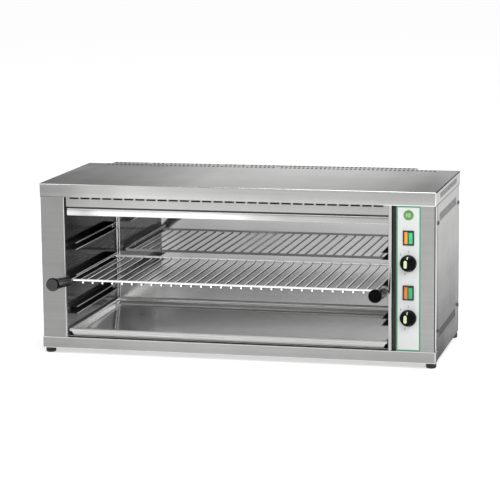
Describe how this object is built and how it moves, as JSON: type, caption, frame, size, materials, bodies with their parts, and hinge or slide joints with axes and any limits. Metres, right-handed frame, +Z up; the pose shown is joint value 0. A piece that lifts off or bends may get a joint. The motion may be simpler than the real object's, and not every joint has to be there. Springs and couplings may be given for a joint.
{
  "type": "countertop cheese melter",
  "caption": "Wide open-fronted countertop cheese melter with roof heating zones, a wire rack on side rails, two black grips, a drip tray and a control column with knobs and switches.",
  "frame": {"origin": "on the worktop, under the centre of the whole outline, with the grips in front and the rear box included", "axes": "+X to the user's right when facing the open side, +Y to the back, +Z up; the open side faces -Y"},
  "size_m": [0.8644, 0.4916, 0.3725],
  "materials": {
    "brushed_steel": "brushed, satin",
    "bright_steel": "bright, polished",
    "rail_steel": "smooth mill finish",
    "rack_chrome": "bright chrome plate",
    "black_grip": "satin black moulding",
    "knob_black": "glossy black moulding",
    "knob_inlay": "pale yellow-green inlay",
    "label": "pale film with a green border",
    "black_seal": "black, slightly shiny",
    "foot_rubber": "black, dull",
    "dark_screw": "blackened steel",
    "zinc": "zinc plated steel",
    "tube_alloy": "oxidised heating tube",
    "ceramic": "glazed ceramic",
    "switch_black": "black moulding",
    "lens_orange": "translucent orange",
    "rocker_green": "translucent green",
    "regulator_case": "heat-proof moulding",
    "terminal_body": "pale moulding",
    "gland_plastic": "black moulding",
    "brown_wire": "heat-proof insulation",
    "blue_wire": "heat-proof insulation",
    "earth_green": "green and yellow insulation"
  },
  "bodies": {
    "cabinet": {"base_pan": "brushed_steel", "foot_front_left": "foot_rubber", "foot_front_right": "foot_rubber", "foot_back_left": "foot_rubber", "foot_back_right": "foot_rubber", "foot_nuts": "zinc", "top_cover": "brushed_steel", "left_post": "brushed_steel", "control_panel": "brushed_steel", "control_label": "label", "groove_seal": "black_seal", "left_side_panel": "brushed_steel", "right_side_panel": "brushed_steel", "side_panel_screws": "dark_screw", "left_back_panel": "brushed_steel", "right_back_panel": "brushed_steel", "rear_cover": "brushed_steel", "rear_screws": "zinc", "cavity_left_wall": "bright_steel", "cavity_right_wall": "bright_steel", "cavity_back_wall": "bright_steel", "cavity_floor": "bright_steel", "roof_reflector": "bright_steel", "deflector_lip": "bright_steel", "mouth_panel": "brushed_steel", "left_rail_low": "rail_steel", "left_rail_mid": "rail_steel", "left_rail_top": "rail_steel", "right_rail_low": "rail_steel", "right_rail_mid": "rail_steel", "right_rail_top": "rail_steel", "left_heating_tube": "tube_alloy", "right_heating_tube": "tube_alloy", "tube_insulators": "ceramic", "tube_hangers": "rail_steel", "upper_switch": "switch_black", "lower_switch": "switch_black", "upper_lens": "lens_orange", "lower_lens": "lens_orange", "upper_regulator": "regulator_case", "lower_regulator": "regulator_case", "regulator_nuts": "zinc", "terminal_block": "terminal_body", "cable_gland": "gland_plastic", "live_wires": "brown_wire", "neutral_wires": "blue_wire", "earth_wire": "earth_green"},
    "rack_body": {"rack": "rack_chrome", "left_grip": "black_grip", "right_grip": "black_grip"},
    "tray_body": {"drip_tray": "bright_steel"},
    "upper_knob_body": {"upper_knob": "knob_black", "upper_shaft": "zinc", "upper_knob_inlay": "knob_inlay"},
    "lower_knob_body": {"lower_knob": "knob_black", "lower_shaft": "zinc", "lower_knob_inlay": "knob_inlay"},
    "upper_rocker_body": {"upper_rocker": "rocker_green"},
    "lower_rocker_body": {"lower_rocker": "rocker_green"}
  },
  "joints": [
    {"name": "rack_slide", "type": "slide", "parent": "cabinet", "child": "rack_body", "axis": [0, -1, 0], "range_m": [0, 0.2]},
    {"name": "tray_slide", "type": "slide", "parent": "cabinet", "child": "tray_body", "axis": [0, -1, 0], "range_m": [0, 0.25]},
    {"name": "upper_knob_turn", "type": "hinge", "parent": "cabinet", "child": "upper_knob_body", "pos_m": [0.3725, -0.1292, 0.2233], "axis": [0, 1, 0], "range_deg": [0, 317]},
    {"name": "lower_knob_turn", "type": "hinge", "parent": "cabinet", "child": "lower_knob_body", "pos_m": [0.3725, -0.1292, 0.1078], "axis": [0, 1, 0], "range_deg": [0, 317]},
    {"name": "upper_rocker_tilt", "type": "hinge", "parent": "cabinet", "child": "upper_rocker_body", "pos_m": [0.3771, -0.1282, 0.2765], "axis": [-1, 0, 0], "range_deg": [0, 12]},
    {"name": "lower_rocker_tilt", "type": "hinge", "parent": "cabinet", "child": "lower_rocker_body", "pos_m": [0.3771, -0.1282, 0.161], "axis": [-1, 0, 0], "range_deg": [0, 12]}
  ]
}
